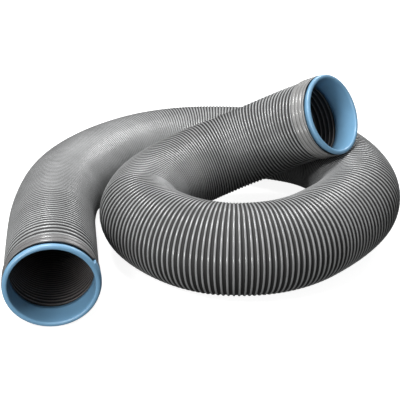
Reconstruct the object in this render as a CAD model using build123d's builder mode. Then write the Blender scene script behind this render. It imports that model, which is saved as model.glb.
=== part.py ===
"""Flexible air duct: a wire-reinforced ribbed hose lying in one and a third loose turns, with a cuff in each end.

Millimetres, +Z up, the hose lies on Z = 0 and the origin is under the middle of the whole duct. The duct starts at
the near cuff, runs away along +Y, bends to the right, comes round to the front and left, and climbs over its own
first turn to the far cuff. The hose has three layers: an outer wall, the wire helix that stiffens it, and an inner
wall. Each layer is made in spans, because the duct bends and stretches between stiff stretches.
"""

import os
from math import radians, tan

from build123d import *

# Hose section. The radii are those of the ribbed layers' envelopes.
hose_radius = 56.0
outer_wall = 1.3
wire_diameter = 1.4
inner_wall = 0.8
hose_bore_radius = hose_radius - outer_wall - wire_diameter - inner_wall

# Cuff: a rounded lip in front of the hose, and a sleeve inside it.
cuff_bore_radius = 50.2
cuff_sleeve_radius = 52.3
cuff_lip_radius = 57.2
cuff_lip_length = 7.0
cuff_lip_rounding = 3.0
cuff_mouth_chamfer = 1.2
cuff_length = 34.0
cuff_tip_chamfer = 0.8

# End band: a smooth ribbed collar around the last of the hose.
band_start = 9.0
band_radius = 56.9
band_clearance = 0.05
band_ridge_count = 3
band_ridge_pitch = 7.5
band_groove_width = 2.0
band_groove_depth = 0.5

hose_setback = 8.0  # from the mouth of a cuff to the cut end of the hose
span_gap = 0.3  # between a span that changes shape and its neighbours
bend_share = 0.45  # of the shorter run beside a corner, taken up by its bend

# The route of the hose's centre line, from the mouth of the near cuff to the mouth of the far cuff.
route = [
    Vector(x, y, z)
    for x, y, z in [
        (-184, -249, 57.3),
        (-200, -156, 56.4),
        (-212, -61, 56),
        (-208, 32, 56),
        (-166, 116, 56),
        (-98, 181, 56),
        (-9, 206, 56),
        (86, 193, 56.5),
        (169, 154, 57),
        (208, 73, 57),
        (213, -24, 57),
        (164, -91, 57),
        (91, -160, 57),
        (-12, -165, 57.5),
        (-94, -95, 60),
        (-90, -2, 64.5),
        (-14, 65, 80),
        (76, 87, 106),
        (132, 55, 144.5),
        (171, 20, 169),
    ]
]

# Spans of the hose, each from the middle of one run of the route to the middle of another. The first starts in the
# near cuff and the last ends in the far one. A span marked True changes shape when the duct moves.
spans = [
    ("near_end", None, 0, False),
    ("near_stretch", 0, 2, True),
    ("near_arm", 2, 3, False),
    ("near_bend_1", 3, 4, True),
    ("near_bend_2", 4, 5, True),
    *((f"loop_{number}", number + 4, number + 5, False) for number in range(1, 9)),
    ("far_bend", 13, 15, True),
    ("far_arm", 15, 16, False),
    ("far_turn", 16, 17, True),
    ("far_end", 17, None, False),
]

light_blue = Color(0.45, 0.64, 0.80)
silver_grey = Color(0.55, 0.56, 0.57)
steel = Color(0.75, 0.75, 0.78)
dark_grey = Color(0.25, 0.25, 0.27)
band_grey = Color(0.66, 0.67, 0.68)

os.makedirs("parts", exist_ok=True)


def finish(piece, label, colour):
    """Name a finished piece, colour it and write it."""
    piece.part.label = label
    piece.part.color = colour
    export_step(piece.part, f"parts/{label}.step")


def bend_radius(corner):
    """The bend at a corner of the route takes the same share of the shorter run beside it everywhere."""
    before = route[corner] - route[corner - 1]
    after = route[corner + 1] - route[corner]
    turn = radians(before.get_angle(after))
    return bend_share * min(before.length, after.length) / tan(turn / 2)


def on_run(run, offset):
    """A point on a run, at an offset from its middle."""
    along = route[run + 1] - route[run]
    return route[run] + along * 0.5 + along.normalized() * offset


def span_points(first_run, last_run, gap):
    """The ends and corners of a span's centre line. A span without a first or a last run ends in a cuff."""
    start = route[0] + (route[1] - route[0]).normalized() * hose_setback
    end = route[-1] + (route[-2] - route[-1]).normalized() * hose_setback
    if first_run is not None:
        start = on_run(first_run, gap)
    if last_run is not None:
        end = on_run(last_run, -gap)
    return [start, *(route[corner] for corner in span_corners(first_run, last_run)), end]


def span_corners(first_run, last_run):
    """The corners of the route that lie in a span."""
    first = 1 if first_run is None else first_run + 1
    last = len(route) - 2 if last_run is None else last_run
    return range(first, last + 1)


def hose_layer(label, points, radii, outer, inner, colour):
    """One span of one layer of the hose: a tube along straight runs and round bends."""
    with BuildPart() as layer:
        with BuildLine() as centre_line:
            if radii:
                FilletPolyline(*points, radius=radii)
            else:
                Line(*points)
        with BuildSketch(Plane(origin=points[0], z_dir=points[1] - points[0])):
            Circle(outer)
            Circle(inner, mode=Mode.SUBTRACT)
        sweep(path=centre_line.line)
    finish(layer, label, colour)


def cuff(label, mouth):
    """A moulded cuff, turned about the hose's axis, with its mouth on the given plane."""
    with BuildPart() as body:
        with BuildSketch(Plane(origin=mouth.origin, x_dir=mouth.x_dir, z_dir=-mouth.y_dir)):
            with BuildLine():
                Polyline(
                    (cuff_bore_radius + cuff_mouth_chamfer, 0),
                    (cuff_lip_radius, 0),
                    (cuff_lip_radius, -cuff_lip_length),
                    (cuff_sleeve_radius, -cuff_lip_length),
                    (cuff_sleeve_radius, -cuff_length + cuff_tip_chamfer),
                    (cuff_sleeve_radius - cuff_tip_chamfer, -cuff_length),
                    (cuff_bore_radius, -cuff_length),
                    (cuff_bore_radius, -cuff_mouth_chamfer),
                    close=True,
                )
            make_face()
        revolve(axis=Axis(mouth.origin, mouth.z_dir))
        rim = body.edges().filter_by(GeomType.CIRCLE).group_by(lambda edge: edge.radius)[-1]
        fillet(rim, cuff_lip_rounding)
    finish(body, label, light_blue)


def end_band(label, mouth):
    """A ribbed collar around the end of the hose, turned about the hose's axis."""
    length = band_ridge_count * band_ridge_pitch + band_groove_width
    middle = band_start + length / 2
    with BuildPart() as band:
        with BuildSketch(mouth.offset(-band_start)):
            Circle(band_radius)
            Circle(hose_radius + band_clearance, mode=Mode.SUBTRACT)
        extrude(amount=-length)
        for ridge in range(band_ridge_count - 1):
            groove = middle + (ridge + 1 - band_ridge_count / 2) * band_ridge_pitch
            with BuildSketch(mouth.offset(-groove + band_groove_width / 2)):
                Circle(band_radius + 1)
                Circle(band_radius - band_groove_depth, mode=Mode.SUBTRACT)
            extrude(amount=-band_groove_width, mode=Mode.SUBTRACT)
    finish(band, label, band_grey)


corner_radii = {corner: bend_radius(corner) for corner in range(1, len(route) - 1)}
for corner, radius in corner_radii.items():
    print(f"corner {corner}: bend radius {radius:.0f} mm")

for name, first_run, last_run, changes_shape in spans:
    points = span_points(first_run, last_run, span_gap if changes_shape else 0)
    radii = [corner_radii[corner] for corner in span_corners(first_run, last_run)]
    wire_outside = hose_radius - outer_wall
    wire_inside = wire_outside - wire_diameter
    hose_layer(f"outer_wall_{name}", points, radii, hose_radius, wire_outside, silver_grey)
    hose_layer(f"wire_helix_{name}", points, radii, wire_outside, wire_inside, steel)
    hose_layer(f"inner_wall_{name}", points, radii, wire_inside, hose_bore_radius, dark_grey)

near_mouth = Plane(origin=route[0], z_dir=route[0] - route[1])
far_mouth = Plane(origin=route[-1], z_dir=route[-1] - route[-2])
for side, mouth in (("near", near_mouth), ("far", far_mouth)):
    cuff(f"{side}_cuff", mouth)
    end_band(f"{side}_end_band", mouth)
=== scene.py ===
"""Flexible air duct: a ribbed hose lying in one and a third loose turns, with a blue cuff in each end.

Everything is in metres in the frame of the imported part, except what is marked as millimetres. The hose is
made in stretches that follow one smooth line. A stretch is an outer wall with helical ribs, the spring wire
inside the ribs, and the dark ribbed inner wall.
"""

import math

import bmesh
import bpy
import numpy as np
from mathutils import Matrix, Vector


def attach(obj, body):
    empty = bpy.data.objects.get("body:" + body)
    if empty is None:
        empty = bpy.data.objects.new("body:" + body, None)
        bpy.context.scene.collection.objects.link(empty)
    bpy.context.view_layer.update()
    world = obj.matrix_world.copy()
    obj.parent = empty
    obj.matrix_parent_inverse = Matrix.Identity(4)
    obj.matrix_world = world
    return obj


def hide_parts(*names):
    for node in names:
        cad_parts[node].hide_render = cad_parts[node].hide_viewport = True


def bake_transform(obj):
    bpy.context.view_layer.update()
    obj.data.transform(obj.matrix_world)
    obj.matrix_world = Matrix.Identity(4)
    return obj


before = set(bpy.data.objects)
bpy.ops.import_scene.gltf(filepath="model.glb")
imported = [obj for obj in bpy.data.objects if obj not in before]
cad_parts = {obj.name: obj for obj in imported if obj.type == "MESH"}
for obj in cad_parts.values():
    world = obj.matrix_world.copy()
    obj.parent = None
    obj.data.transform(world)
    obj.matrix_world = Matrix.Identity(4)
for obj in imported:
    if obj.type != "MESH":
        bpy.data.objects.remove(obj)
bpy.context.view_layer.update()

scene = bpy.context.scene
MM = 0.001
TURN = 2 * math.pi

# --------------------------------------------------------------------------------------------------
# The route of the hose's centre line, from the mouth of the near cuff to the mouth of the far cuff.
ROUTE = [
    (-0.183, -0.2530, 0.0568),
    (-0.198, -0.156, 0.0620),
    (-0.212, -0.061, 0.0560),
    (-0.208, 0.032, 0.0560),
    (-0.166, 0.116, 0.0560),
    (-0.098, 0.181, 0.0560),
    (-0.009, 0.206, 0.0560),
    (0.086, 0.193, 0.0565),
    (0.169, 0.154, 0.0575),
    (0.208, 0.073, 0.0586),
    (0.212, -0.025, 0.0590),
    (0.168, -0.096, 0.0590),
    (0.092, -0.165, 0.0590),
    (-0.012, -0.169, 0.0592),
    (-0.093, -0.094, 0.0600),
    (-0.0895, -0.027, 0.0620),
    (-0.059, 0.024, 0.0670),
    (-0.014, 0.0555, 0.0775),
    (0.044, 0.0715, 0.0955),
    (0.098, 0.066, 0.1217),
    (0.139, 0.047, 0.1470),
    (0.172, 0.020, 0.1685),
]

# The next three tables run along the hose, by the distance in metres from the near mouth.
# The pitch of the ribs, in millimetres.
PITCH = [
    (0.00, 8.2), (0.043, 7.6), (0.053, 6.0), (0.064, 5.2), (0.12, 5.3), (0.25, 4.8), (0.32, 4.2),
    (0.45, 4.2), (0.58, 4.8), (0.64, 5.4), (0.70, 6.8), (0.77, 7.2), (0.90, 7.0), (0.95, 6.9), (1.00, 6.5),
    (1.06, 5.8), (1.12, 5.1), (1.20, 5.1), (1.30, 5.4), (1.42, 5.4), (1.50, 4.9), (1.55, 4.8), (1.58, 5.3),
    (1.61, 5.8), (1.64, 6.1), (1.68, 6.4),
]  # fmt: skip
# How far the ribs stand apart, from 0, closed up, to 1.
OPENNESS = [
    (0.00, 1.0), (0.06, 0.9), (0.12, 0.6), (0.18, 0.4), (0.25, 0.15), (0.42, 0.15), (0.50, 0.4),
    (0.60, 0.55), (0.70, 0.65), (0.79, 0.8), (0.84, 1.0), (1.00, 1.0), (1.10, 0.9), (1.30, 0.85),
    (1.38, 0.8), (1.46, 0.9), (1.52, 1.0),
]  # fmt: skip
# The radius over the ribs, in millimetres.
RADIUS = [
    (0.00, 55.2), (0.05, 56.0), (0.30, 56.0), (0.45, 55.9), (0.75, 56.6), (0.90, 57.9), (1.20, 57.8),
    (1.30, 56.6), (1.45, 56.0), (1.60, 55.6),
]  # fmt: skip
# The smooth side of each ribbed wall, in millimetres.
OUTER_WALL_INSIDE, INNER_WALL_OUTSIDE, BAND_INSIDE = 52.95, 52.9, 55.7


def smooth_line(points):
    """Points close together on the smooth curve that follows the route."""
    curve = bpy.data.curves.new("route", "CURVE")
    curve.dimensions = "3D"
    curve.resolution_u = 96
    spline = curve.splines.new("NURBS")
    spline.points.add(len(points) - 1)
    for point, place in zip(spline.points, points):
        point.co = (*place, 1)
    spline.order_u = 3
    spline.use_endpoint_u = True
    holder = bpy.data.objects.new("route", curve)
    mesh = bpy.data.meshes.new_from_object(holder)
    line = np.array([v.co for v in mesh.vertices], float)
    bpy.data.meshes.remove(mesh)
    bpy.data.objects.remove(holder)
    bpy.data.curves.remove(curve)
    return line


LINE = smooth_line(ROUTE)
ALONG = np.concatenate([[0], np.cumsum(np.linalg.norm(np.diff(LINE, axis=0), axis=1))])
LENGTH = float(ALONG[-1])
HEADING = np.gradient(LINE, ALONG, axis=0)
HEADING /= np.linalg.norm(HEADING, axis=1)[:, None]


def lerp(table, x):
    table = np.array(table)
    return np.interp(x, table[:, 0], table[:, 1])


def along_line(s):
    """Place, heading, left and up on the hose's line at distances s."""
    place = np.stack([np.interp(s, ALONG, LINE[:, k]) for k in range(3)], -1)
    ahead = np.stack([np.interp(s, ALONG, HEADING[:, k]) for k in range(3)], -1)
    ahead /= np.linalg.norm(ahead, axis=-1, keepdims=True)
    left = np.cross(np.array([0.0, 0.0, 1.0]), ahead)
    left /= np.linalg.norm(left, axis=-1, keepdims=True)
    return place, ahead, left, np.cross(ahead, left)


def nearest(run):
    """The distance along the line of the point nearest to the middle of a run of the route."""
    middle = (np.array(ROUTE[run]) + np.array(ROUTE[run + 1])) / 2
    return float(ALONG[np.argmin(np.linalg.norm(LINE - middle, axis=1))])


# How many ribs there are from the near mouth to each distance, with a little unevenness of the pitch.
STEP = 0.0005
STEPS = np.arange(-0.02, LENGTH + 0.02, STEP)
UNEVENNESS = 0.028  # as a share of the pitch
UNEVEN_OVER = 0.022  # metres from one random value to the next
rng = np.random.default_rng(7)
knots = np.arange(-0.1, LENGTH + 0.2, UNEVEN_OVER)
wander = np.interp(STEPS, knots, rng.normal(0, UNEVENNESS, len(knots)))
RIBS = np.concatenate([[0], np.cumsum(STEP / (lerp(PITCH, STEPS[:-1]) * MM * (1 + wander[:-1])))])


def ribs_before(s):
    return np.interp(s, STEPS, RIBS)


def where_rib(u):
    return np.interp(u, RIBS, STEPS)


# --------------------------------------------------------------------------------------------------
# Mesh helpers.
SAME_POINT = 2e-6  # points nearer to each other than this are joined


def add_mesh(name, points, faces, material, groove=None):
    """A smooth piece with its material. groove runs from 0 on the crests to 1 in the grooves."""
    mesh = bpy.data.meshes.new(name)
    mesh.from_pydata([tuple(p) for p in points], [], faces)
    # The groove value carries the painted groove shade into the material, and its extra roughness.
    if groove is not None:
        layer = mesh.attributes.new("groove", "FLOAT", "POINT")
        layer.data.foreach_set("value", np.asarray(groove, np.float32))
    piece = bpy.data.objects.new(name, mesh)
    scene.collection.objects.link(piece)
    work = bmesh.new()
    work.from_mesh(mesh)
    bmesh.ops.remove_doubles(work, verts=work.verts, dist=SAME_POINT)
    bmesh.ops.recalc_face_normals(work, faces=work.faces)
    work.to_mesh(mesh)
    work.free()
    for polygon in mesh.polygons:
        polygon.use_smooth = True
    mesh.materials.append(material)
    return piece


def around(s, angle, radius):
    """Points at distances s along the line, at an angle round it from the left over the top, and a radius."""
    place, _, left, up = along_line(s)
    return place + radius[..., None] * (np.cos(angle)[..., None] * left + np.sin(angle)[..., None] * up)


def strip_faces(rows, columns, first=0):
    """Quads between rows of points that close round on themselves."""
    index = first + np.arange(rows * columns).reshape(rows, columns)
    a, b = index[:-1], np.roll(index[:-1], -1, axis=1)
    c, d = np.roll(index[1:], -1, axis=1), index[1:]
    return np.stack([a, b, c, d], -1).reshape(-1, 4)


SMOOTH_STEP = 0.012  # between the rings of a wall's smooth side, at most
ROUNDING = 1e-9


def ribbed(s0, s1, columns, fractions, half_of, radius_of, other_radius, start_edge=None, end_edge=None):
    """A closed wall between s0 and s1: one side has helical ribs, and the other is smooth.

    A rib has a row of points at each fraction of half_of(s, wide), which is half its width as a share of
    the pitch. radius_of(s, phase, wide) gives the ribbed side's radius and its groove value. Phase runs
    from -0.5 to 0.5 across a rib, and wide is how many times further apart the ribs are there than on the
    line. The smooth side is at other_radius, in millimetres. An edge function gives an end's distance
    along the hose by angle.
    """
    first, last = math.floor(ribs_before(s0)) - 2, math.ceil(ribs_before(s1)) + 2
    column = np.arange(columns + 1)[None, :]
    angle = TURN * column / columns
    centre = np.arange(first, last)[:, None] + column / columns
    centre_s = where_rib(centre)
    half = half_of(centre_s, widening(centre_s, angle * np.ones_like(centre)))
    rows = (last - first) * len(fractions)
    rib_rows = np.array(fractions)[None, :, None] * half[:, None, :]
    u = (centre[:, None, :] + rib_rows).reshape(rows, columns + 1)
    angle = angle * np.ones_like(u)
    low = np.full(columns + 1, s0) if start_edge is None else start_edge(angle[0])
    high = np.full(columns + 1, s1) if end_edge is None else end_edge(angle[0])
    s = where_rib(u)
    held = np.clip(s, low[None, :], high[None, :])
    phase = ribs_before(held) - column / columns
    phase -= np.round(phase)
    radius, groove = radius_of(held, phase, widening(held, angle))
    points = around(held, angle, radius)
    index = np.arange(rows * (columns + 1)).reshape(rows, columns + 1)
    quads = np.stack([index[:-1, :-1], index[:-1, 1:], index[1:, 1:], index[1:, :-1]], -1).reshape(-1, 4)
    before, after = s < low[None, :] - ROUNDING, s > high[None, :] + ROUNDING
    quads = quads[~(np.all(before.reshape(-1)[quads], 1) | np.all(after.reshape(-1)[quads], 1))]
    points, groove = points.reshape(-1, 3), groove.reshape(-1)
    # The smooth side, and a flat ring at each end.
    ring = TURN * np.arange(columns) / columns
    low, high = low[:columns], high[:columns]
    spans = max(2, math.ceil((s1 - s0) / SMOOTH_STEP))
    share = np.linspace(0, 1, spans + 1)[:, None]
    along = low[None, :] * (1 - share) + high[None, :] * share
    smooth = around(along, ring[None, :] * np.ones_like(along), np.full(along.shape, other_radius * MM))
    offset = len(points)
    other = strip_faces(spans + 1, columns, offset)
    ends, faces = [], []
    for edge, row in ((low, 0), (high, spans)):
        edge_phase = ribs_before(edge) - np.arange(columns) / columns
        edge_phase -= np.round(edge_phase)
        edge_radius, edge_groove = radius_of(edge, edge_phase, widening(edge, ring))
        start = offset + smooth.shape[0] * columns + len(ends) * columns
        ends.append((around(edge, ring, edge_radius), edge_groove))
        inner = offset + row * columns + np.arange(columns)
        outer = start + np.arange(columns)
        faces.append(np.stack([inner, np.roll(inner, -1), np.roll(outer, -1), outer], -1))
    points = np.concatenate([points, smooth.reshape(-1, 3), *(e[0] for e in ends)])
    # Painted shade: the smooth side takes the full groove value and so the dark groove colour, which darkens
    # it where it shows, as in the slot between a lip and its band.
    groove = np.concatenate([groove, np.ones(smooth.shape[0] * columns), *(e[1] for e in ends)])
    return points, np.concatenate([quads, other, *faces]).tolist(), groove


HOSE_RADIUS = 0.056
LEAST_WIDENING = 0.3


def widening(s, angle):
    """How many times further apart the ribs are at an angle round the hose than on its line."""
    step = 0.004
    _, before, _, _ = along_line(s - step)
    _, after, _, _ = along_line(s + step)
    _, _, left, up = along_line(s)
    bend = (after - before) / (2 * step)
    outwards = np.cos(angle)[..., None] * left + np.sin(angle)[..., None] * up
    return np.maximum(1 - HOSE_RADIUS * np.sum(bend * outwards, -1), LEAST_WIDENING)


# The outer wall's rib: a round crest, then a web down to the next rib. Lengths here are in millimetres.
OUTER_COLUMNS = 64
OUTER_ROWS = [-1.1, -0.97, -0.78, -0.45, 0, 0.45, 0.78, 0.97, 1.1]
CLOSED_CREST, CREST_NARROWS = 0.80, 0.30  # as shares of the pitch, closed up and by how much less when open
WIDEST_HALF = 0.44  # of the pitch
CLOSED_DEPTH, OPEN_ADDS, WEB_ADDS = 0.35, 0.45, 0.7  # the groove's depth, and what is added to it
# WIDE_WEB is the web's width for its full added depth, and SHADED_WEB the web's width for full painted groove
# shade, in millimetres.
WIDE_WEB, SHADED_WEB = 3.0, 1.3


def crest_width(s):
    return lerp(PITCH, s) * (CLOSED_CREST - CREST_NARROWS * lerp(OPENNESS, s))


def outer_half(s, wide):
    return np.minimum(0.5 * crest_width(s) / (lerp(PITCH, s) * np.sqrt(wide)), WIDEST_HALF)


def outer_section(s, phase, wide):
    """The outer wall's radius, and its groove value, which paints shade on the steep sides of the crests and
    on the web, darker where the web is wider.
    """
    half = outer_half(s, wide)
    web = lerp(PITCH, s) * wide * (1 - 2 * half)
    across = np.clip(np.abs(phase) / half, 0, 1)
    openness = lerp(OPENNESS, s)
    depth = CLOSED_DEPTH + OPEN_ADDS * openness + WEB_ADDS * np.clip(web / WIDE_WEB, 0, 1)
    flatness = 2 + 4 * (1 - openness)  # closed-up ribs press their crests flat
    radius = (lerp(RADIUS, s) - depth * (1 - np.sqrt(np.maximum(1 - across**flatness, 0)))) * MM
    # Painted shade: the groove value darkens the sides of the crests and the web between the ribs.
    groove = np.clip((across - 0.66) / 0.30, 0, 1) * (0.25 + 0.75 * np.clip(web / SHADED_WEB, 0, 1))
    return radius, groove


# The inner wall's rib, in millimetres.
INNER_COLUMNS = 48
INNER_ROWS = [-1.25, -1, -0.35, 0.35, 1]
INNER_RIB_HALF = 1.3
WIDEST_INNER_HALF = 0.38  # of the pitch
INNER_RADIUS = 52.7  # between the ribs
INNER_RIB, INNER_RIB_IN_SLEEVE = 1.5, 0.2  # how far the ribs stand into the bore
SLEEVE_END = 0.0345  # behind the mouth, in metres: where the cuff's sleeve stops


def inner_half(s, wide):
    return np.minimum(INNER_RIB_HALF / (lerp(PITCH, s) * wide), WIDEST_INNER_HALF)


def inner_section(s, phase, wide):
    """The inner wall's radius and groove value: thin ribs that stand into the bore, with painted shade
    between them.
    """
    across = np.clip(np.abs(phase) / inner_half(s, wide), 0, 1)
    in_sleeve = np.minimum(s, LENGTH - s) < SLEEVE_END
    height = np.where(in_sleeve, INNER_RIB_IN_SLEEVE, INNER_RIB)
    radius = (INNER_RADIUS - height * (1 - across**2)) * MM
    # Painted shade: the groove value darkens the wall between the inner ribs.
    return radius, np.clip((across - 0.5) / 0.5, 0, 1)


WIRE_DEPTH = 1.5  # from the crest of a rib to the middle of the wire, millimetres


def spring_wire(s0, s1, radius=0.0007, sides=5, per_turn=28):
    """The spring wire between s0 and s1, as a closed helical rod under the crests of the ribs."""
    u0, u1 = ribs_before(s0), ribs_before(s1)
    count = int((u1 - u0) * per_turn)
    u = np.linspace(u0, u1, count)
    s = where_rib(u)
    angle = TURN * (u - np.floor(u))
    centre = (lerp(RADIUS, s) - WIRE_DEPTH) * MM
    path = around(s, angle, centre)
    tangent = np.gradient(path, axis=0)
    tangent /= np.linalg.norm(tangent, axis=1)[:, None]
    place, _, _, _ = along_line(s)
    outwards = path - place
    outwards -= tangent * np.sum(outwards * tangent, 1)[:, None]
    outwards /= np.linalg.norm(outwards, axis=1)[:, None]
    across = np.cross(tangent, outwards)
    turn = TURN * np.arange(sides) / sides
    points = path[:, None] + radius * (
        np.cos(turn)[None, :, None] * outwards[:, None] + np.sin(turn)[None, :, None] * across[:, None]
    )
    faces = strip_faces(count, sides).tolist()
    faces += [list(range(sides))[::-1], [(count - 1) * sides + k for k in range(sides)]]
    return points.reshape(-1, 3), faces


# --------------------------------------------------------------------------------------------------
# Materials.
def new_material(name):
    material = bpy.data.materials.new(name)
    material.use_nodes = True
    nodes, links = material.node_tree.nodes, material.node_tree.links
    return material, nodes, links, nodes["Principled BSDF"]


def noise(nodes, links, scale, detail=4.0):
    coordinates = nodes.new("ShaderNodeTexCoord")
    texture = nodes.new("ShaderNodeTexNoise")
    texture.inputs["Scale"].default_value = scale
    texture.inputs["Detail"].default_value = detail
    texture.inputs["Roughness"].default_value = 0.55
    links.new(coordinates.outputs["Object"], texture.inputs["Vector"])
    return texture.outputs["Fac"]


def ramp(nodes, links, value, stops):
    """A colour for a value, between two stops of a position and a colour."""
    node = nodes.new("ShaderNodeValToRGB")
    for element, (position, colour) in zip(node.color_ramp.elements, stops):
        element.position = position
        element.color = (*colour, 1)
    links.new(value, node.inputs["Fac"])
    return node.outputs["Color"]


def mix(nodes, links, share, colour, other):
    """A colour that becomes the other one as share goes from 0 to 1."""
    node = nodes.new("ShaderNodeMix")
    node.data_type = "RGBA"
    links.new(share, node.inputs[0])
    links.new(colour, node.inputs[6])
    node.inputs[7].default_value = (*other, 1)
    return node.outputs[2]


def bump(nodes, links, shader, height, strength, distance):
    node = nodes.new("ShaderNodeBump")
    node.inputs["Strength"].default_value = strength
    node.inputs["Distance"].default_value = distance
    links.new(height, node.inputs["Height"])
    links.new(node.outputs["Normal"], shader.inputs["Normal"])


def ribbed_plastic(name, crest, groove_shade_colour, roughness, specular):
    """Plastic whose grooves are painted darker than its crests, as painted shade, with cloudy colour and a
    fine surface.
    """
    material, nodes, links, shader = new_material(name)
    groove = nodes.new("ShaderNodeAttribute")
    groove.attribute_name = "groove"
    cloud = noise(nodes, links, scale=22.0)
    light = tuple(min(c * 1.12, 1) for c in crest)
    dark = tuple(c * 0.86 for c in crest)
    colour = ramp(nodes, links, cloud, [(0.3, dark), (0.7, light)])
    # Painted shade: the groove value mixes the colour towards the near-black shade colour in the grooves.
    colour = mix(nodes, links, groove.outputs["Fac"], colour, groove_shade_colour)
    links.new(colour, shader.inputs["Base Color"])
    smear = noise(nodes, links, scale=90.0, detail=3.0)
    rough = nodes.new("ShaderNodeMapRange")
    rough.inputs["To Min"].default_value = roughness - 0.07
    rough.inputs["To Max"].default_value = roughness + 0.09
    links.new(smear, rough.inputs["Value"])
    dull = nodes.new("ShaderNodeMath")
    dull.operation = "MULTIPLY_ADD"
    dull.inputs[1].default_value = 0.5
    links.new(groove.outputs["Fac"], dull.inputs[0])
    links.new(rough.outputs["Result"], dull.inputs[2])
    links.new(dull.outputs["Value"], shader.inputs["Roughness"])
    shader.inputs["Specular IOR Level"].default_value = specular
    surface = noise(nodes, links, scale=900.0, detail=2.0)
    bump(nodes, links, shader, surface, strength=0.10, distance=0.0003)
    return material


def moulded_plastic(name, colour, roughness):
    """Moulded plastic with a faint grain and slightly uneven colour."""
    material, nodes, links, shader = new_material(name)
    cloud = noise(nodes, links, scale=16.0)
    light = tuple(min(c * 1.06, 1) for c in colour)
    dark = tuple(c * 0.92 for c in colour)
    links.new(ramp(nodes, links, cloud, [(0.3, dark), (0.7, light)]), shader.inputs["Base Color"])
    smear = noise(nodes, links, scale=60.0, detail=3.0)
    rough = nodes.new("ShaderNodeMapRange")
    rough.inputs["To Min"].default_value = roughness - 0.05
    rough.inputs["To Max"].default_value = roughness + 0.08
    links.new(smear, rough.inputs["Value"])
    links.new(rough.outputs["Result"], shader.inputs["Roughness"])
    shader.inputs["Specular IOR Level"].default_value = 0.8
    grain = noise(nodes, links, scale=1400.0, detail=2.0)
    bump(nodes, links, shader, grain, strength=0.08, distance=0.0002)
    return material


def drawn_steel(name):
    """Drawn wire, with cloudy grey colour."""
    material, nodes, links, shader = new_material(name)
    shader.inputs["Metallic"].default_value = 1.0
    cloud = noise(nodes, links, scale=120.0)
    colour = ramp(nodes, links, cloud, [(0.3, (0.42, 0.42, 0.43)), (0.7, (0.6, 0.6, 0.61))])
    links.new(colour, shader.inputs["Base Color"])
    shader.inputs["Roughness"].default_value = 0.35
    return material


# A ribbed plastic has the colour of its crests, the painted shade colour of its grooves, its roughness and
# its specular level.
silver = ribbed_plastic("silver_plastic", (0.31, 0.315, 0.317), (0.004,) * 3, 0.18, 0.75)
lining = ribbed_plastic("dark_lining", (0.14, 0.125, 0.122), (0.010,) * 3, 0.34, 0.6)
band_plastic = ribbed_plastic("band_plastic", (0.31, 0.31, 0.305), (0.015,) * 3, 0.17, 0.9)
# The near band's plastic is a darker copy of band_plastic: painted shade on the near band.
near_band_shaded_plastic = ribbed_plastic("near_band_shaded_plastic", (0.19, 0.187, 0.187), (0.015,) * 3, 0.20, 0.8)
blue = moulded_plastic("blue_plastic", (0.175, 0.36, 0.54), 0.34)
wire_steel = drawn_steel("spring_steel")

# --------------------------------------------------------------------------------------------------
# The camera, at the height of someone looking down at the duct on a table.
camera_data = bpy.data.cameras.new("camera")
camera_data.lens = 76.5
camera_data.sensor_width = 36.0
camera = bpy.data.objects.new("camera", camera_data)
camera.location = (-0.013, -1.087, 0.5703)
LOOKS_DOWN = 25.74  # degrees
camera.rotation_euler = (math.radians(90 - LOOKS_DOWN), 0, 0)
scene.collection.objects.link(camera)
scene.camera = camera

# --------------------------------------------------------------------------------------------------
# The hose, in stretches. Each has the two bodies that it joins, or one that it rides on.
HOSE_START, HOSE_END = 0.0165, LENGTH - 0.012
NEAR_BEND_START = nearest(3) - 0.055  # before the middle of its run, so that it bends over a longer stretch
stops = {
    "near_end": (HOSE_START, nearest(0)),
    "near_stretch": (nearest(0), nearest(2)),
    "near_arm": (nearest(2), NEAR_BEND_START),
    "near_bend": (NEAR_BEND_START, nearest(5)),
    "loop": (nearest(5), nearest(13)),
    "far_bend": (nearest(13), nearest(16)),
    "far_arm": (nearest(16), nearest(17)),
    "far_turn": (nearest(17), nearest(19)),
    "far_end": (nearest(19), HOSE_END),
}
bodies = {
    "near_end": ["near_end"],
    "near_stretch": ["near_end", "near_arm"],
    "near_arm": ["near_arm"],
    "near_bend": ["near_arm", "loop"],
    "loop": ["loop"],
    "far_bend": ["loop", "far_arm"],
    "far_arm": ["far_arm"],
    "far_turn": ["far_arm", "far_end"],
    "far_end": ["far_end"],
}
cad_spans = {name: [name] for name in stops}
cad_spans["near_bend"] = ["near_bend_1", "near_bend_2"]
cad_spans["loop"] = [f"loop_{number}" for number in range(1, 9)]


END_RING = 24  # points
END_RADIUS = 0.0575  # just outside the ribs
CLEARANCE = 0.0005


def blend_ends(s0, s1):
    """Two points on the chord between the ends of a stretch, just clear of the rings at both of its ends."""
    ring = TURN * np.arange(END_RING) / END_RING
    ends = [around(np.full(END_RING, s), ring, np.full(END_RING, END_RADIUS)) for s in (s0, s1)]
    centres = [along_line(s)[0] for s in (s0, s1)]
    chord = centres[1] - centres[0]
    chord /= np.linalg.norm(chord)
    first = (ends[0] @ chord).max() + CLEARANCE
    last = (ends[1] @ chord).min() - CLEARANCE
    middle = (centres[0] + centres[1]) / 2
    return [tuple(middle + chord * (reach - middle @ chord)) for reach in (first, last)]


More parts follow.
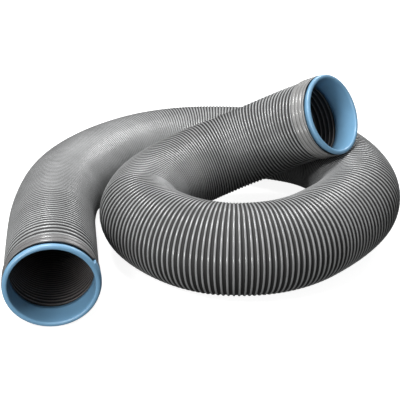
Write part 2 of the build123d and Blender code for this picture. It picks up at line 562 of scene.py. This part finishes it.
for name, (s0, s1) in stops.items():
    wall = ribbed(s0, s1, OUTER_COLUMNS, OUTER_ROWS, outer_half, outer_section, OUTER_WALL_INSIDE)
    points, faces, groove = wall
    outer = add_mesh(f"hose_outside_{name}", points, faces, silver, groove)
    wall = ribbed(s0, s1, INNER_COLUMNS, INNER_ROWS, inner_half, inner_section, INNER_WALL_OUTSIDE)
    points, faces, groove = wall
    inner = add_mesh(f"hose_inside_{name}", points, faces, lining, groove)
    points, faces = spring_wire(s0 + CLEARANCE, s1 - CLEARANCE)
    wire = add_mesh(f"spring_wire_{name}", points, faces, wire_steel)
    for piece, layer in ((outer, "outer_wall"), (inner, "inner_wall"), (wire, "wire_helix")):
        if len(bodies[name]) == 1:
            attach(piece, bodies[name][0])
        else:
            start, end = blend_ends(s0, s1)
            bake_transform(piece)
        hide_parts(*(f"{layer}_{span}" for span in cad_spans[name]))

# A path along the loop, a point every 4 mm, whose last point is moved from the line up towards the wall of
# the stretch that it is joined to. The loop is the one stretch long enough to be a cord. Its ends are
# moved from the line towards the wall of the stretches that it is joined to, because a cord has to start
# and end near a CAD part.
s0, s1 = stops["loop"]
PATH_STEP = 0.004
TO_WALL = np.array((0, 0, 0.027))
loop_path = along_line(np.arange(s0, s1, PATH_STEP))[0]
loop_path[-1] += TO_WALL

# --------------------------------------------------------------------------------------------------
# The cuffs, turned about the ends of the hose. Radius and depth behind the mouth, in millimetres.
CUFF = [
    (50.2, 34.0), (50.2, 28.0), (50.2, 20.0), (50.2, 12.0), (50.2, 6.5), (50.25, 3.0), (50.4, 1.4),
    (50.8, 0.6), (51.6, 0.12), (52.6, 0.0), (53.6, 0.05), (54.5, 0.35), (55.3, 0.95), (55.8, 1.8),
    (56.0, 2.8), (56.0, 3.8), (55.95, 4.6), (55.6, 5.2), (54.9, 5.5), (53.4, 5.6), (52.6, 5.8),
    (52.3, 6.4), (52.3, 20.0), (52.3, 32.6), (51.9, 33.6), (51.2, 34.0),
]  # fmt: skip
CUFF_BORE = 50.2
LIP_END = 6.0
LIP_FULLNESS = 1.08  # how many times thicker the lip is than in the list above
CUFF_COLUMNS = 144


def make_cuff(side, mouth, inwards):
    """A cuff with its mouth at a distance along the hose. inwards is 1 or -1, the way into the hose."""
    ring = TURN * np.arange(CUFF_COLUMNS) / CUFF_COLUMNS
    points = []
    for radius, depth in CUFF:
        if depth < LIP_END:
            radius = CUFF_BORE + (radius - CUFF_BORE) * LIP_FULLNESS
        at = mouth + inwards * (depth * MM)
        points.append(around(np.full(CUFF_COLUMNS, at), ring, np.full(CUFF_COLUMNS, radius * MM)))
    first = np.arange(CUFF_COLUMNS)
    last = (len(CUFF) - 1) * CUFF_COLUMNS + first
    closing = np.stack([last, np.roll(last, -1), np.roll(first, -1), first], -1)
    faces = np.concatenate([strip_faces(len(CUFF), CUFF_COLUMNS), closing]).tolist()
    cuff = add_mesh(f"cuff_{side}", np.concatenate(points), faces, blue)
    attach(cuff, f"{side}_end")
    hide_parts(f"{side}_cuff")


make_cuff("near", 0.0, 1)
make_cuff("far", LENGTH, -1)

# The end bands. A band's radii, and the gap between the back of a lip and its band by the angle round the
# mouth in degrees, are in millimetres. The near band's last turn ends on the right, where the stop shows.
BAND_RADIUS, RIDGE_DROP, LINE_DEPTH = 57.2, 1.4, 0.35
BAND_COLUMNS = 96
BAND_ROWS = [-1, -0.93, -0.82, -0.62, -0.41, -0.33, -0.25, 0, 0.25, 0.33, 0.41, 0.62, 0.82, 0.93]
LIP_BACK = 5.8
NEAR_GAP = [
    (0, 0.4), (25, 1.4), (45, 3.8), (70, 3.8), (90, 3.4), (120, 4.4), (151, 5.4), (153.5, 9.4), (200, 8.8),
    (290, 3.5), (360, 0.4),
]  # fmt: skip
FAR_GAP = [(0, 2.8), (90, 2.8), (120, 2.8), (170, 3.0), (225, 4.4), (270, 4.2), (360, 2.8)]
NEAR_BAND_END, FAR_BAND_END = 0.0240, 0.0320  # behind the mouth, in metres


def band_section(s, phase, wide):
    """The end bands: broad, low ridges that follow the helix, each with two fine lines. The groove value
    paints shade between the ridges and along the fine lines.
    """
    across = np.clip(np.abs(phase) / 0.5, 0, 1)
    line = np.clip(1 - np.abs(across - 1 / 3) / 0.10, 0, 1)
    # Painted shade: between the ridges and along the fine lines.
    groove = np.maximum(np.clip((across - 0.80) / 0.13, 0, 1), 0.75 * line)
    return (BAND_RADIUS - RIDGE_DROP * across**4 - LINE_DEPTH * line) * MM, groove


def whole_pitch(s, wide):
    return np.full(s.shape, 0.5)


def near_edge(angle):
    """The front edge of the near band."""
    return (LIP_BACK + lerp(NEAR_GAP, np.degrees(angle) % 360)) * MM


def far_edge(angle):
    """The front edge of the far band."""
    return LENGTH - (LIP_BACK + lerp(FAR_GAP, np.degrees(angle) % 360)) * MM


def make_band(side, s0, s1, material, **edge):
    wall = ribbed(s0, s1, BAND_COLUMNS, BAND_ROWS, whole_pitch, band_section, BAND_INSIDE, **edge)
    points, faces, groove = wall
    band = add_mesh(f"band_{side}", points, faces, material, groove)
    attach(band, f"{side}_end")
    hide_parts(f"{side}_end_band")


make_band("near", LIP_BACK * MM, NEAR_BAND_END, near_band_shaded_plastic, start_edge=near_edge)
make_band("far", LENGTH - FAR_BAND_END, LENGTH - LIP_BACK * MM, band_plastic, end_edge=far_edge)

# The near cuff's stop: a raised block behind the lip, where the near band's last turn ends. Its section's
# radii and depths are in millimetres. Its size, by the angle in degrees, falls away to the left.
STOP_BASE, STOP_FRONT = 52.0, 3.0
STOP_SECTION = [
    (52.0, 3.4), (55.2, 3.0), (56.9, 4.6), (57.7, 7.5), (57.8, 11.5), (57.4, 13.4), (56.4, 14.3),
    (52.0, 14.5),
]  # fmt: skip
STOP_SIZE = [(154, 0.90), (154.4, 0.97), (155.5, 1.0), (200, 0.92), (288, 0.15)]
STOP_ANGLES = np.concatenate([[154.0, 154.4, 155.5], np.arange(160, 292, 4)])


def make_stop():
    points, sides, rows = [], len(STOP_SECTION), len(STOP_ANGLES)
    for degrees in STOP_ANGLES:
        size = lerp(STOP_SIZE, degrees)
        for radius, depth in STOP_SECTION:
            reach = STOP_BASE + (radius - STOP_BASE) * min(1, size + 0.1)
            at = STOP_FRONT + (depth - STOP_FRONT) * size
            points.append(around(np.array([at * MM]), np.radians([degrees]), np.array([reach * MM]))[0])
    ends = [list(range(sides))[::-1], [(rows - 1) * sides + k for k in range(sides)]]
    faces = strip_faces(rows, sides).tolist() + ends
    stop = add_mesh("cuff_near_stop", points, faces, blue)
    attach(stop, "near_end")


make_stop()

# --------------------------------------------------------------------------------------------------
# The stage.
FLOOR_HALF = 40.0
corners = [(x * FLOOR_HALF, y * FLOOR_HALF, 0) for x, y in ((-1, -1), (1, -1), (1, 1), (-1, 1))]
floor_mesh = bpy.data.meshes.new("floor")
floor_mesh.from_pydata(corners, [], [(0, 1, 2, 3)])
floor = bpy.data.objects.new("floor", floor_mesh)
scene.collection.objects.link(floor)
floor.location.z = -0.0004
floor.visible_diffuse = False  # so that the floor's own brightness doesn't light the underside of the hose
floor.visible_glossy = False
floor_white, nodes, links, shader = new_material("floor_white")
shader.inputs["Base Color"].default_value = (0.45, 0.45, 0.45, 1)
shader.inputs["Roughness"].default_value = 0.6
shader.inputs["Specular IOR Level"].default_value = 0.2
shader.inputs["Emission Color"].default_value = (1, 1, 1, 1)
shader.inputs["Emission Strength"].default_value = 0.91
floor_mesh.materials.append(floor_white)

world = bpy.data.worlds.new("studio")
world.use_nodes = True
nodes, links = world.node_tree.nodes, world.node_tree.links
height = nodes.new("ShaderNodeSeparateXYZ")
links.new(nodes.new("ShaderNodeTexCoord").outputs["Generated"], height.inputs["Vector"])
sky = nodes.new("ShaderNodeMapRange")
for socket, value in (("From Min", -0.05), ("From Max", 0.55), ("To Min", 0.04), ("To Max", 0.43)):
    sky.inputs[socket].default_value = value
links.new(height.outputs["Z"], sky.inputs["Value"])
links.new(sky.outputs["Result"], nodes["Background"].inputs["Strength"])
nodes["Background"].inputs["Color"].default_value = (1, 1, 1, 1)
scene.world = world


def area_light(name, place, target, size, power):
    data = bpy.data.lights.new(name, "AREA")
    data.shape = "RECTANGLE"
    data.size, data.size_y = size
    data.energy = power
    light = bpy.data.objects.new(name, data)
    light.location = place
    light.rotation_euler = (Vector(target) - Vector(place)).to_track_quat("-Z", "Y").to_euler()
    scene.collection.objects.link(light)


area_light("softbox_top", (-0.35, -0.15, 1.85), (0, 0, 0), (0.9, 0.5), 30)
area_light("softbox_left", (-0.95, -1.25, 1.50), (0, 0, 0.05), (0.4, 0.4), 16)
area_light("softbox_right", (0.90, 1.15, 1.3), (0.1, 0, 0.05), (0.9, 0.9), 16)
area_light("softbox_front", (-0.65, -1.65, 0.10), (0, 0, 0.05), (0.8, 0.2), 12)
scene.view_settings.view_transform = "Standard"
